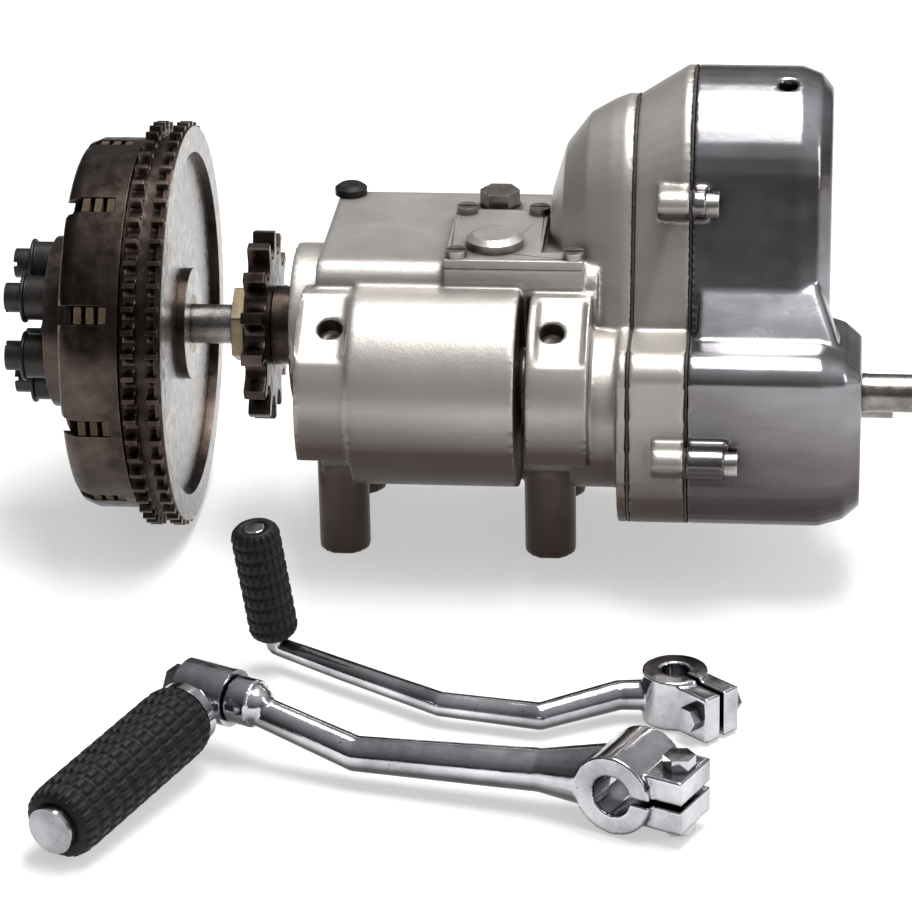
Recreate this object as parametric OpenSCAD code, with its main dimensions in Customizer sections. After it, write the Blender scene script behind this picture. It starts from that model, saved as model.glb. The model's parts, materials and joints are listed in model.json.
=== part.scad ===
// Separate four-speed gearbox with wet clutch, kick-start lever and gear lever.
// X runs along the shafts from the clutch to the covers, Y to the rear, Z up.
// The origin is the centre of the four mounting lugs, on the plane they stand on.

/* [Shafts] */
// Height of the mainshaft above the lug feet
main_z = 89; // [88:0.5:92]
// Drop angle of the layshaft, forward of the mainshaft
lay_drop = 7; // [4:0.5:10]
// Radius of the mainshaft
main_r = 8.5; // [8:0.1:8.5]
// Radius of the kick-start shaft
kick_r = 8.2; // [7.8:0.1:8.4]
// Radius of the gear-change spindle
spindle_r = 5.8; // [5:0.1:6]

/* [Gears] */
// Gear module
gear_m = 2; // [2:0.5:2]
// Teeth on the sleeve gear and on the layshaft gear that drives it
sleeve_teeth = [28, 20]; // [20:4:28]
// Teeth on the first-speed pair, mainshaft then layshaft
first_teeth = [16, 32]; // [16:4:32]
// Teeth on the second-speed pair
second_teeth = [20, 28]; // [20:4:28]
// Teeth on the third-speed pair
third_teeth = [24, 24]; // [24:4:24]
// Flank clearance taken off each side of a tooth
gear_backlash = 0.12; // [0.08:0.02:0.2]

/* [Casing] */
// Half the lug spacing along the shafts
lug_x = 44.5; // [42:0.5:46]
// Half the lug spacing across the shafts
lug_y = 31; // [30:0.5:32]
// Radius of a mounting lug tube
lug_r = 11; // [10:0.5:12]
// Radius of the bolt hole through a lug
lug_hole_r = 5.5; // [5:0.25:5.5]
// Height of the flat top of the casing
casing_top = 134; // [132:0.5:136]
// Outer radius of the round front barrel
barrel_r = 42.5; // [42:0.25:43]
// Wall thickness of the castings
wall = 6; // [5:0.5:7]

/* [Covers] */
// Where the inner cover meets the casing
inner_x = 81; // [80:1:82]
// Where the outer cover meets the inner cover
outer_x = 105; // [104:1:106]
// Outer face of the tall lobe of the outer cover
lobe_end = 162; // [158:1:164]
// Outer face of the low front lobe
low_end = 176; // [172:1:178]

/* [Clutch] */
// Teeth on the chainwheel
chain_teeth = 56; // [56:1:56]
// Chain pitch
chain_pitch = 9.525; // [9.525:0.001:9.525]
// Outer radius of the clutch drum
drum_r = 80; // [78:0.5:80]
// Number of slots in the drum
drum_slots = 10; // [10:1:10]
// Number of springs
spring_count = 6; // [6:1:6]
// Radius of the circle that the springs stand on
spring_pcd_r = 25; // [24:0.5:26]

/* [Final drive] */
// Teeth on the gearbox sprocket
sprocket_teeth = 14; // [14:1:14]
// Pitch of the rear chain
rear_pitch = 15.875; // [15.875:0.001:15.875]

/* [Levers] */
// Where the kick lever's boss lies
kick_lever_at = [92, -266]; // [-300:1:120]
// Direction of the kick lever's bore
kick_lever_turn = 244.8; // [240:0.1:250]
// Radius of the pedal rubber
pedal_rubber_r = 15; // [14:0.5:15]
// Where the gear lever's boss lies
gear_lever_at = [105, -183]; // [-300:1:120]
// Radius of the gear lever's rubber
peg_rubber_r = 10; // [9:0.5:10.5]

/* [Hidden] */
$fn = 64;

shaft_gap = gear_m * (sleeve_teeth[0] + sleeve_teeth[1]) / 2;
lay_y = -shaft_gap * cos(lay_drop);
lay_z = main_z - shaft_gap * sin(lay_drop);
selector_y = 16;
selector_z = 50;
rod_y = -14;
rod_z = 48;
rod_r = 5;
run = 0.05;
seam = 0.02;
mesh_turn = 180 + lay_drop;
cavity_x = 30.5;
body_x0 = -52;
body_x1 = 66;
boss_x0 = -66;

// Stations of the gears along X: start and end of each toothed width.
sleeve_x = [-29.5, -20.5];
third_x = [-14, -6];
lay_third_x = [-14.5, -5.5];
second_x = [3.5, 12.5];
lay_second_x = [4, 12];
first_x = [18.5, 28.5];
dog_r = [13.5, 18];

// Cover outline: the circles it is wrapped round, each [y, z, radius].
lobe_top = [12, 155, 48];
lobe_mid = [-5, 85, 50];
lobe_rear = [20, 62, 34];
lobe_neck = [10, 149, 42];
lobe_front = [-58, 58, 26];
// Corners of the box-like low front lobe
lobe_block = [[-72, 98, 12], [-30, 98, 12], [-60, 57, 27], [-35, 57, 27]];

chain_pcd_r = chain_pitch / 2 / sin(180 / chain_teeth);
chain_tip_r = chain_pcd_r + 2.3;
chain_x = [-131, -112];
drum_x = [-157, -131];
cup_angle = 135;
rear_pcd_r = rear_pitch / 2 / sin(180 / sprocket_teeth);
sprocket_x = [-87, -76];

// Casing details
gasket_t = 1;
lug_hole_depth = 52;
block_r = 41;
block_x = [[-57, -34], [38.5, 64]];
pad_x = [-56.5, 42.5];
pad_hole_x = [-43.5, 48.5];
pad_tilt = 30;
pad_out = 36.7;
pad_hole_r = 5.3;
neck_x0 = 56;
screw_hole_r = 2.8;
tapped_r = 2.5;
inspection_points = [[7, -40], [56, -40], [7, 12], [38, 12]];
inspection_t = 4;
filler_at = [22, -27];
filler_r = 8;
top_plug_at = [19.5, 28];
top_plug_r = 5;
breather_at = [-47, 43];
breather_r = 3;
drain_at = [10, 0];
drain_r = 5;
detent_x = -19;
plunger_r = 3.5;

// Cover screws: [circle, angle on it, x of the head seat]
cover_screw_list = [[lobe_top, 172, outer_x + 6], [lobe_top, 25, outer_x + 6],
                    [[-58, 69, 28.3], 180, outer_x + 16], [lobe_rear, -75, outer_x + 6],
                    [lobe_rear, 20, outer_x + 6]];
screw_lug_r = 6.5;
screw_out = 5.4;

// Clutch release
cable_x = 143;
cable_hole_r = 4;
arm_pin_at = [114, 79];
arm_pin_r = 3;
pushrod_r = 3;

// Ends of the shafts that the levers clamp on
kick_end_r = 8;
kick_end_x = 178.5;
spindle_end_r = 5.5;
spindle_end_x = 171.5;

// Bearings
sleeve_bearing_r = 26;
mainshaft_bearing_r = 20;
sleeve_r = 12.5;
lay_pin_r = 6.5;
lay_spigot_r = 5.5;

// Clutch parts
hub_r = 30;
hub_x0 = -150;
stud_r = 3;
cup_r = 9.5;
slot_phase = 156;
steel_plate_x = [-140.9, -146.1, -151.3];
friction_plate_x = [-139, -144.2, -149.4];
tooth_row_x = [-128.4, -118.2];
tooth_row_w = 5.2;
chain_roller_r = 3.2;
rear_roller_r = 5.15;

// Selector and forks
selector_r = 12;
spindle_bore_r = spindle_r + run;
fork_travel = 2;
drum_turn_max = 45;
track_r = 1.45;
fork_pin_r = 1.2;
pin_tilt = atan2(selector_z - rod_z, selector_y - rod_y);
third_fork_x = -4.5;
second_fork_x = 2.5;

// Kick lever, in its own frame with X along the bore
kick_axis_z = 16.4;
pedal_pivot = [28, -170, 24];
pedal_tilt = 4.8;
pedal_pin_r = 5;
pinch_at = [0, 21];
pinch_r = 3.5;

// Gear lever: points along its arm, the way its peg leans, and its pinch bolt
gear_arm = [[0, 0, 10], [-22, -1, 9.5], [-52, -18, 8], [-92, -10, 8], [-135, 17, 8.5],
            [-163, 35, 9]];
peg_lean = [-6, -5, 50];
peg_r = 4.5;
gear_pinch_turn = -42;
gear_pinch_at = [19, 10.5];
gear_pinch_r = 3;

function polar(r, a) = [r * cos(a), r * sin(a)];
// Polar angle that an involute has turned through at a radius r, for base radius b.
function inv_angle(r, b) = let (t = sqrt(max(0, pow(r / b, 2) - 1))) t * 180 / PI - atan(t);

module along(x0, x1) translate([x0, 0, 0]) rotate([90, 0, 90]) linear_extrude(x1 - x0) children();
module rod(x0, x1, r) translate([x0, 0, 0]) rotate([0, 90, 0]) cylinder(h = x1 - x0, r = r);
module ring(x0, x1, r_out, r_in) difference() {
    rod(x0, x1, r_out);
    rod(x0 - 1, x1 + 1, r_in);
}
module at_main() translate([0, 0, main_z]) children();
module at_lay() translate([0, lay_y, lay_z]) children();
module at_selector() translate([0, selector_y, selector_z]) children();
module at_rod() translate([0, rod_y, rod_z]) children();

// Two circles and the band between their outer tangents. Each is [y, z, radius].
// The band lies a hair inside the tangents, so that its edges cross the circles.
module link(a, b, inset = 0) {
    d = [b[0] - a[0], b[1] - a[1]];
    turn = atan2(d[1], d[0]);
    ra = a[2] - inset;
    rb = b[2] - inset;
    lean = acos((ra - rb) / norm(d));
    ca = [a[0], a[1]];
    cb = [b[0], b[1]];
    ta = ra - seam;
    tb = rb - seam;
    translate(ca) circle(ra);
    translate(cb) circle(rb);
    polygon([ca + polar(ta, turn + lean), ca + polar(ta, turn - lean),
             cb + polar(tb, turn - lean), cb + polar(tb, turn + lean)]);
}

// A rounded bar between two points.
module strut(p, q, r1, r2) hull() {
    translate(p) sphere(r1, $fn = 24);
    translate(q) sphere(r2, $fn = 24);
}

// Spur gear profile with a tooth centred on the angle given.
module gear_2d(teeth, turn) {
    rp = gear_m * teeth / 2;
    rb = rp * cos(20);
    ra = rp + gear_m;
    rf = rp - 1.25 * gear_m;
    half = 90 / teeth - gear_backlash / rp * 180 / PI + inv_angle(rp, rb);
    radii = [for (i = [0:5]) max(rb, rf) + (ra - max(rb, rf)) * i / 5];
    polygon([for (k = [0:teeth - 1]) let (c = turn + 360 * k / teeth) each concat(
        [polar(rf, c - half)],
        [for (r = radii) polar(r, c - half + inv_angle(r, rb))],
        [for (i = [5:-1:0]) polar(radii[i], c + half - inv_angle(radii[i], rb))],
        [polar(rf, c + half)])]);
}
module gear(span, teeth, turn) along(span[0], span[1]) gear_2d(teeth, turn);
module main_gear(span, teeth) gear(span, teeth, mesh_turn);
module lay_gear(span, teeth) gear(span, teeth, lay_drop + 180 / teeth);

// Face dogs: five blocks on one face of a gear.
module dogs(x0, x1, turn = 0) for (k = [0:4]) rotate([turn + 72 * k, 0, 0])
    intersection() {
        ring(x0, x1, dog_r[1], dog_r[0]);
        translate([x0, 10, -4]) cube([x1 - x0, 12, 8]);
    }

// Spline profile of six keys.
module spline_2d(r, key_r, key_w) {
    circle(r);
    for (k = [0:2]) rotate(60 * k) square([2 * key_r, key_w], center = true);
}

// Chain teeth: a disc with a round seat cut for each roller.
module sprocket_2d(teeth, pcd_r, tip_r, roller_r) difference() {
    circle(tip_r);
    for (k = [0:teeth - 1]) rotate(360 * (k + 0.5) / teeth) {
        translate([pcd_r, 0]) circle(roller_r);
        polygon([[pcd_r, -roller_r], [tip_r + 2, -roller_r * 1.45],
                 [tip_r + 2, roller_r * 1.45], [pcd_r, roller_r]]);
    }
}

// Round wire wound along X.
module coil(x0, x1, r, wire_r, turns, sides = 6, steps = 12) {
    n = turns * steps;
    pitch = (x1 - x0 - 2 * wire_r) / turns;
    points = [for (i = [0:n]) for (j = [0:sides - 1])
        let (a = 360 * i / steps, b = 360 * j / sides, rr = r + wire_r * cos(b))
        [x0 + wire_r + pitch * i / steps + wire_r * sin(b), rr * cos(a), rr * sin(a)]];
    faces = concat(
        [[for (j = [0:sides - 1]) j]],
        [for (i = [0:n - 1]) for (j = [0:sides - 1]) let (k = (j + 1) % sides)
            [i * sides + j, (i + 1) * sides + j, (i + 1) * sides + k, i * sides + k]],
        [[for (j = [sides - 1:-1:0]) n * sides + j]]);
    polyhedron(points, faces);
}

// Outline of both covers. The band from lobe_mid to lobe_rear closes the back.
module low_lobe(inset = 0) hull() for (c = lobe_block) translate([c[0], c[1]])
    circle(c[2] - inset, $fn = 48);
module cover_outline(inset = 0, top = lobe_top) {
    link(top, lobe_mid, inset);
    link(lobe_mid, lobe_rear, inset);
    link(lobe_front, lobe_rear, inset);
    low_lobe(inset);
}

function screw_yz(s) = [s[0][0], s[0][1]] + polar(s[0][2] + screw_out, s[1]);
module at_cover_screws() for (s = cover_screw_list) translate([0, screw_yz(s)[0], screw_yz(s)[1]])
    children();
// An ear that carries a cover screw, from x0 to its seat or to x1.
module screw_ear(s, x0, x1) along(x0, x1) intersection() {
    link([screw_yz(s)[0], screw_yz(s)[1], screw_lug_r],
         [s[0][0], s[0][1], screw_lug_r + 1]);
    difference() {
        translate([s[0][0], s[0][1]]) circle(s[0][2] + screw_out + screw_lug_r + 1);
        translate([s[0][0], s[0][1]]) circle(s[0][2] - 4.5);
    }
}

// ---- Casing and covers ----

module lugs() for (sx = [-1, 1]) for (sy = [-1, 1]) translate([sx * lug_x, sy * lug_y, 0])
    children();

module at_breather() translate([breather_at[0], breather_at[1], casing_top]) children();
// The slanted pads on the front of the lug blocks.
module at_pads() at_lay() rotate([pad_tilt, 0, 0]) translate([0, 0, pad_out]) children();
// The inspection cover has a narrow tongue beside the bell.
module inspection_outline() {
    translate([2, -45]) square([40, 61]);
    translate([40, -45]) square([20, 10.5]);
}

module casing_body_2d() {
    link([-34, casing_top - 10, 10], [44, casing_top - 10, 10]);
    link([-34, casing_top - 10, 10], [-32, 44, 10]);
    link([44, casing_top - 10, 10], [40, 44, 10]);
    link([-32, 44, 10], [40, 44, 10]);
    polygon([[-40, 44], [48, 44], [48, casing_top - 8], [-40, casing_top - 8]]);
}

module bell() hull() for (s = [[44, 0.5], [50, 0.74], [60, 0.9], [70, 0.97], [76, 1]])
    along(s[0], s[0] + 4)
        for (c = [lobe_neck, lobe_mid])
            translate([(c[0] - 4) * s[1] + 4, (c[1] - 110) * s[1] + 110])
                circle(c[2] * s[1], $fn = 48);

module gearbox_shell() color("#b4ada3") difference() {
    union() {
        along(body_x0, body_x1) casing_body_2d();
        at_lay() rod(-35, 34, barrel_r);
        for (x = block_x) along(x[0], x[1]) intersection() {
            translate([lay_y, lay_z]) circle(block_r);
            translate([-100, 62]) square([80, 100]);
        }
        along(body_x0, body_x1) intersection() {
            translate([lay_y, lay_z]) circle(barrel_r - 2);
            translate([-lug_y - 15, 40]) square([60, 90]);
        }
        at_lay() rod(body_x0 - 4, -34, 14);
        at_lay() rod(33, neck_x0, 16);
        along(boss_x0 + 4, body_x0 + 1) link([lay_y + 14, lay_z - 14, 20], [0, main_z, 33]);
        at_main() rod(boss_x0, body_x0 + 1, 36);
        along(neck_x0, inner_x - gasket_t) link([lay_y - 1, lay_z - 8, 34], [20, 62, 32]);
        along(inner_x - 5, inner_x - gasket_t) cover_outline(0, lobe_neck);
        bell();
        translate([0, 0, 118]) linear_extrude(casing_top - 118) inspection_outline();
        lugs() cylinder(h = 60, r = lug_r);
    }
    // Gear chamber
    along(-cavity_x, cavity_x) {
        link([lay_y, lay_z, 36.5], [0, main_z, 34]);
        link([rod_y, rod_z, 10.5], [selector_y, selector_z, selector_r + 1.5]);
        link([rod_y, rod_z, 10.5], [lay_y, lay_z, 14]);
        polygon([[-24.5, rod_z], [31, selector_z], [33, main_z], [-24.5, main_z]]);
    }
    // Chamber behind the inner cover
    along(body_x1 - 3, inner_x + 1) link([lay_y - 1, lay_z - 8, 28], [20, 62, 26]);
    along(body_x1 + 1, inner_x + 1) link(lobe_neck, lobe_mid, 10);
    // Mainshaft line
    at_main() rod(boss_x0 - 1, -51, sleeve_bearing_r);
    at_main() rod(-52, -30, 17);
    at_main() rod(30, 33.5, 14);
    at_main() rod(33, 45, mainshaft_bearing_r);
    at_main() rod(44, body_x1 + 2, 12);
    // Layshaft line and kick-start shaft
    at_lay() rod(-38.5, -30, 10);
    at_lay() rod(30, 38, 11);
    at_lay() rod(37, body_x1, kick_r + 0.8);
    // Selector drum and fork rod
    at_selector() rod(-38, 34, 6 + run);
    at_selector() rod(30, body_x1, 5 + run);
    at_rod() rod(-36, 36, rod_r);
    // Blind bolt holes in the lugs, and the slanted pads with their blind holes
    lugs() translate([0, 0, -1]) cylinder(h = lug_hole_depth + 1, r = lug_hole_r);
    for (x = pad_x) at_pads() translate([x, -25, 0]) cube([20, 46, 20]);
    for (x = pad_hole_x) at_pads() translate([x, 0, -9]) cylinder(h = 12, r = pad_hole_r);
    // Opening under the inspection cover, and the tapped holes round it
    translate([12, -36, 112]) cube([22, 48, 30]);
    for (p = inspection_points) translate([p[0], p[1], casing_top - 9]) cylinder(h = 20, r = tapped_r);
    translate([top_plug_at[0], top_plug_at[1], casing_top - 8]) cylinder(h = 20, r = top_plug_r);
    at_breather() translate([0, 0, -8]) cylinder(h = 20, r = breather_r);
    translate([drain_at[0], drain_at[1], 20]) cylinder(h = 30, r = drain_r);
    translate([detent_x, selector_y, 20]) cylinder(h = 30, r = plunger_r + run);
}

// The tall lobe of the inner cover widens towards the outer cover.
module inner_cone(x0, x1, inset) hull() {
    along(x0, x0 + 1) for (c = [lobe_neck, lobe_mid]) translate([c[0], c[1]])
        circle(c[2] - inset, $fn = 48);
    along(x1 - 3, x1) for (c = [lobe_top, lobe_mid]) translate([c[0], c[1]])
        circle(c[2] - inset, $fn = 48);
}
module inner_cover() color("#a8a199") difference() {
    union() {
        inner_cone(inner_x, outer_x - gasket_t, 0);
        along(inner_x, outer_x - gasket_t) {
            link(lobe_mid, lobe_rear);
            link(lobe_front, lobe_rear);
            low_lobe();
        }
        for (s = cover_screw_list) screw_ear(s, outer_x - 14, outer_x - gasket_t);
    }
    inner_cone(inner_x - 1, outer_x - 8, wall + 2);
    along(inner_x - 1, outer_x - 8) {
        link(lobe_mid, lobe_rear, wall + 2);
        link(lobe_front, lobe_rear, wall + 2);
        low_lobe(wall + 2);
    }
    at_main() rod(inner_x, outer_x + 1, pushrod_r + 0.6);
    at_lay() rod(inner_x, outer_x + 1, kick_r + run);
    at_selector() rod(inner_x, outer_x + 1, spindle_bore_r);
    at_cover_screws() rod(outer_x - 12, outer_x + 1, tapped_r);
}

module cover_dome() {
    hull() for (s = [[outer_x, 0], [lobe_end - 14, 0], [lobe_end - 6, 3], [lobe_end - 1, 9]])
        along(s[0], s[0] + 1) for (c = [lobe_top, lobe_mid])
            translate([c[0], c[1]]) circle(c[2] - s[1], $fn = 48);
    hull() for (s = [[outer_x, 0], [low_end - 18, 0], [low_end - 8, 3], [low_end - 1, 9]])
        along(s[0], s[0] + 1) for (c = lobe_block) translate([c[0], c[1]])
            circle(c[2] - s[1], $fn = 32);
    hull() for (s = [[outer_x, 0], [lobe_end - 14, 0], [lobe_end - 2, 8]])
        along(s[0], s[0] + 1) for (c = [lobe_front, lobe_rear])
            translate([c[0], c[1]]) circle(c[2] - s[1], $fn = 48);
    // Flare from the tall lobe out to the ledge of the low one
    hull() {
        along(outer_x + 4, lobe_end - 6) translate([-33, 114]) circle(18, $fn = 48);
        along(outer_x + 3, low_end - 10) translate([-53, 94]) circle(15.5, $fn = 48);
    }
}
module outer_cover() color("#8f9094") difference() {
    union() {
        cover_dome();
        at_lay() rod(low_end - 8, low_end, 14);
        at_selector() rod(lobe_end - 8, lobe_end + 8, 10);
        for (s = cover_screw_list) screw_ear(s, outer_x, s[2]);
    }
    along(outer_x - 1, lobe_end - 12) link(lobe_top, lobe_mid, wall);
    along(outer_x - 1, low_end - 20) low_lobe(wall);
    along(outer_x - 1, lobe_end - 12) link(lobe_front, lobe_rear, wall);
    at_lay() rod(outer_x, low_end + 1, kick_r + run);
    at_selector() rod(outer_x, lobe_end + 9, spindle_bore_r);
    at_cover_screws() rod(outer_x - 1, outer_x + 30, screw_hole_r);
    translate([cable_x, 0, 160]) cylinder(h = 60, r = cable_hole_r);
    translate([arm_pin_at[0], 20, arm_pin_at[1]]) rotate([-90, 0, 0])
        cylinder(h = 24, r = arm_pin_r);
}

module shell_gasket() color("#3a3a38") difference() {
    along(inner_x - gasket_t, inner_x) cover_outline(0, lobe_neck);
    along(inner_x - 2, inner_x + 1) cover_outline(wall + 2, lobe_neck);
}
module cover_gasket() color("#3a3a38") difference() {
    along(outer_x - gasket_t, outer_x) {
        cover_outline();
        for (s = cover_screw_list) translate(screw_yz(s)) circle(screw_lug_r - 0.5);
    }
    along(outer_x - 2, outer_x + 1) cover_outline(wall);
    at_cover_screws() rod(outer_x - 2, outer_x + 1, screw_hole_r);
}

module inspection_cover() color("#b2aca2") difference() {
    translate([0, 0, casing_top]) linear_extrude(inspection_t) difference() {
        inspection_outline();
        for (p = inspection_points) translate(p) circle(screw_hole_r);
    }
    translate([filler_at[0], filler_at[1], casing_top - 1]) cylinder(h = 10, r = filler_r);
}
module cheese_head(r, h) difference() {
    cylinder(h = h, r = r);
    translate([-r - 1, -0.8, h - 1.6]) cube([2 * r + 2, 1.6, 2]);
}
module inspection_screws() color("#7d7b78") for (p = inspection_points)
    translate([p[0], p[1], casing_top + inspection_t]) {
        cheese_head(4.5, 3);
        translate([0, 0, -12]) cylinder(h = 12, r = tapped_r);
    }
module cover_screws() color("#c3c0bd") for (s = cover_screw_list)
    translate([s[2], screw_yz(s)[0], screw_yz(s)[1]]) rotate([0, 90, 0]) {
        cheese_head(5, 5);
        translate([0, 0, outer_x - 10 - s[2]]) cylinder(h = s[2] - outer_x + 10, r = tapped_r);
    }
module filler_plug() color("#a9a59c")
    translate([filler_at[0], filler_at[1], casing_top + inspection_t]) {
        cylinder(h = 3.5, r = 12);
        translate([0, 0, 3.5]) cylinder(h = 2, r1 = 12, r2 = 9);
        translate([0, 0, -8]) cylinder(h = 8, r = filler_r);
    }
module top_plug() color("#8d8a80") translate([top_plug_at[0], top_plug_at[1], casing_top]) {
    cylinder(h = 1.5, r = 9.5);
    translate([0, 0, 1.5]) cylinder(h = 7, r = 8.6, $fn = 6);
    translate([0, 0, -8]) cylinder(h = 8, r = top_plug_r);
}
module drain_plug() color("#6f6b66") translate([drain_at[0], drain_at[1], 34]) {
    translate([0, 0, -1.5]) cylinder(h = 1.5, r = 8);
    translate([0, 0, -7.5]) cylinder(h = 6, r = 7, $fn = 6);
    cylinder(h = 2.4, r = drain_r);
}
module breather_cap() color("#1e1d1c") at_breather() {
    cylinder(h = 3, r = 7);
    translate([0, 0, 3]) cylinder(h = 1.5, r1 = 7, r2 = 5);
    translate([0, 0, -8]) cylinder(h = 8, r = breather_r);
}

// ---- Bearings, seals, fixed pins ----

// Ball bearing: two races and a ring of balls, as separate solids.
module ball_bearing(x0, x1, r_out, r_in, balls) {
    mid = (r_out + r_in) / 2;
    ball_r = (r_out - r_in) * 0.27;
    groove_x = (x0 + x1) / 2;
    difference() {
        ring(x0, x1, r_out, r_in);
        rotate([0, 90, 0]) translate([0, 0, groove_x]) rotate_extrude()
            translate([mid, 0]) circle(ball_r);
        ring(x0 - 1, x1 + 1, mid + ball_r * 0.5, mid - ball_r * 0.5);
    }
    for (k = [0:balls - 1]) rotate([360 * k / balls, 0, 0]) translate([groove_x, mid, 0])
        sphere(ball_r - 0.02, $fn = 24);
}
module sleeve_bearing() color("#9c9c9a") at_main()
    ball_bearing(-62, -51, sleeve_bearing_r, sleeve_r, 9);
module mainshaft_bearing() color("#9c9c9a") at_main()
    ball_bearing(33, 45, mainshaft_bearing_r, main_r + run, 8);
module oil_seal() color("#191919") at_main()
    ring(boss_x0, -62.2, sleeve_bearing_r, sleeve_r);
module shaft_bushes() color("#b08b4f") {
    at_lay() ring(-38.5, -31, 10, lay_pin_r + run);
    at_lay() ring(31, 38, 11, kick_r + run);
}
module fork_rod() color("#8f8f8e") at_rod() rod(-36, 36, rod_r);
module detent_plunger() color("#8f8f8e") translate([detent_x, selector_y, 24]) {
    cylinder(h = 9, r = 6, $fn = 6);
    translate([0, 0, 9]) cylinder(h = 7.1, r = plunger_r);
}
module clutch_arm_pin() color("#8f8f8e") translate([arm_pin_at[0], -12, arm_pin_at[1]])
    rotate([-90, 0, 0]) cylinder(h = 56, r = arm_pin_r);

// ---- Mainshaft and clutch ----

module mainshaft() color("#7c7b7a") at_main() difference() {
    union() {
        rod(-158.5, -18.2, main_r);
        along(-18.2, 0.5) spline_2d(9.5, 11.5, 4);
        rod(0.5, 13, 10);
        rod(13, first_x[0], 12.5);
        main_gear(first_x, first_teeth[0]);
        rod(first_x[1], 31, 12);
        rod(31, 56, main_r);
        rod(46, 52, 11, $fn = 6);
    }
    rod(-163, 57, 3.3);
}
module clutch_hub() color("#6d6b69") at_main() difference() {
    union() {
        rod(hub_x0, -134.6, hub_r);
        for (k = [0:5]) rotate([60 * k + 15, 0, 0]) translate([hub_x0, hub_r - 3, -4])
            cube([15, 6, 8]);
    }
    rod(-155, -132, main_r);
    for (k = [0:spring_count - 1]) rotate([cup_angle + 60 * k, 0, 0])
        translate([0, spring_pcd_r, 0]) rod(-155, -142, stud_r);
}
module hub_nut() color("#5c5a57") at_main() difference() {
    rod(-157, hub_x0, 13, $fn = 6);
    rod(-158, hub_x0 + 1, main_r);
}
module steel_plates() color("#a2a2a0") at_main() for (x = steel_plate_x)
    ring(x, x + 1.6, 71, hub_r + 3.2);
module at_springs() at_main() for (k = [0:spring_count - 1]) rotate([cup_angle + 60 * k, 0, 0])
    translate([0, spring_pcd_r, 0]) children();
module spring_studs() color("#8b8a88") at_springs() rod(-187, -142, stud_r);
module spring_nuts() color("#2a2927") at_springs() difference() {
    rod(-189.5, -181.6, 6.4);
    rod(-190, -181, stud_r);
    translate([-190.5, -0.9, -8]) cube([2.5, 1.8, 16]);
}
module drum_slots_cut() for (k = [0:drum_slots - 1]) rotate([360 * k / drum_slots + slot_phase, 0, 0])
    translate([drum_x[0] - 1, drum_r - 12, -4]) cube([22.3, 20, 8]);
module clutch_drum() color("#3d3a36") at_main() difference() {
    union() {
        rod(chain_x[1] - 3, chain_x[1], chain_tip_r - 2);
        for (x = tooth_row_x) along(x, x + tooth_row_w)
            sprocket_2d(chain_teeth, chain_pcd_r, chain_tip_r, chain_roller_r);
        rod(tooth_row_x[0], chain_x[1], chain_pcd_r - 3.9);
        rod(drum_x[1] - 3, tooth_row_x[0] + 1, drum_r - 3);
        rotate([0, 90, 0]) rotate_extrude() polygon([[drum_r - 5, drum_x[1]],
            [drum_r, drum_x[1]], [drum_r, drum_x[0] + 7], [drum_r - 2, drum_x[0] + 2],
            [drum_r - 5, drum_x[0]]]);
    }
    ring(drum_x[0] - 1, drum_x[1] - 3, drum_r - 4.5, 1);
    rod(drum_x[0] - 1, drum_x[1] - 3, 2);
    rod(drum_x[0], chain_x[1] + 1, 12.5);
    // Recess in the back of the chainwheel
    ring(chain_x[1] - 4, chain_x[1] + 1, 74, 24);
    drum_slots_cut();
}
module friction_plates() color("#8c6f45") at_main() for (x = friction_plate_x) {
    ring(x, x + 3, drum_r - 5, 40);
    for (k = [0:drum_slots - 1]) rotate([360 * k / drum_slots + slot_phase, 0, 0])
        translate([x, drum_r - 6, -3.5]) cube([3, 5.5, 7]);
}
module drum_bush() color("#b08b4f") at_main() ring(-131, chain_x[1], 12.5, main_r + run);
module pressure_plate() color("#34322f") at_main() difference() {
    union() {
        rod(-154.5, -151.9, 72);
        rod(-162, -151.9, 50);
        rod(-171, -161, 37);
    }
    rod(-159, -151, 46);
    for (k = [0:spring_count - 1]) rotate([cup_angle + 60 * k, 0, 0])
        translate([0, spring_pcd_r, 0]) rod(-172, -158, cup_r);
    rod(-172, -164, 10);
}
module spring_cups() color("#141414") at_springs() difference() {
    union() {
        rod(-182, -159, cup_r);
        rod(-182, -180.4, cup_r + 1.2);
    }
    rod(-183, -160.4, cup_r - 1.4);
    rod(-161, -158, 3.6);
}
module clutch_springs() color("#77746f") at_springs() coil(-181.4, -160.6, 6.2, 0.9, 4, 5, 10);
module pushrod() color("#8f8f8e") at_main() rod(-158.7, 108, pushrod_r);
module clutch_arm() color("#77746f") difference() {
    union() {
        translate([arm_pin_at[0], 0, arm_pin_at[1]]) rotate([90, 0, 0])
            cylinder(h = 12, r = 6, center = true);
        rotate([90, 0, 0]) linear_extrude(8, center = true)
            link([arm_pin_at[0], arm_pin_at[1], 6], [arm_pin_at[0] - 2.4, main_z, 3]);
        translate([arm_pin_at[0], -3, arm_pin_at[1] - 5]) cube([cable_x - arm_pin_at[0], 6, 8]);
        translate([cable_x, 0, arm_pin_at[1] - 1]) rotate([90, 0, 0])
            cylinder(h = 10, r = 5, center = true);
    }
    translate([arm_pin_at[0], -10, arm_pin_at[1]]) rotate([-90, 0, 0])
        cylinder(h = 20, r = arm_pin_r + run);
    translate([cable_x - 1.2, -1.2, arm_pin_at[1] - 8]) cube([2.4, 2.4, 20]);
    translate([cable_x, -6, arm_pin_at[1] - 1]) rotate([-90, 0, 0]) cylinder(h = 12, r = 2.6);
}

// ---- Sleeve, layshaft and the sliding gears ----

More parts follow.
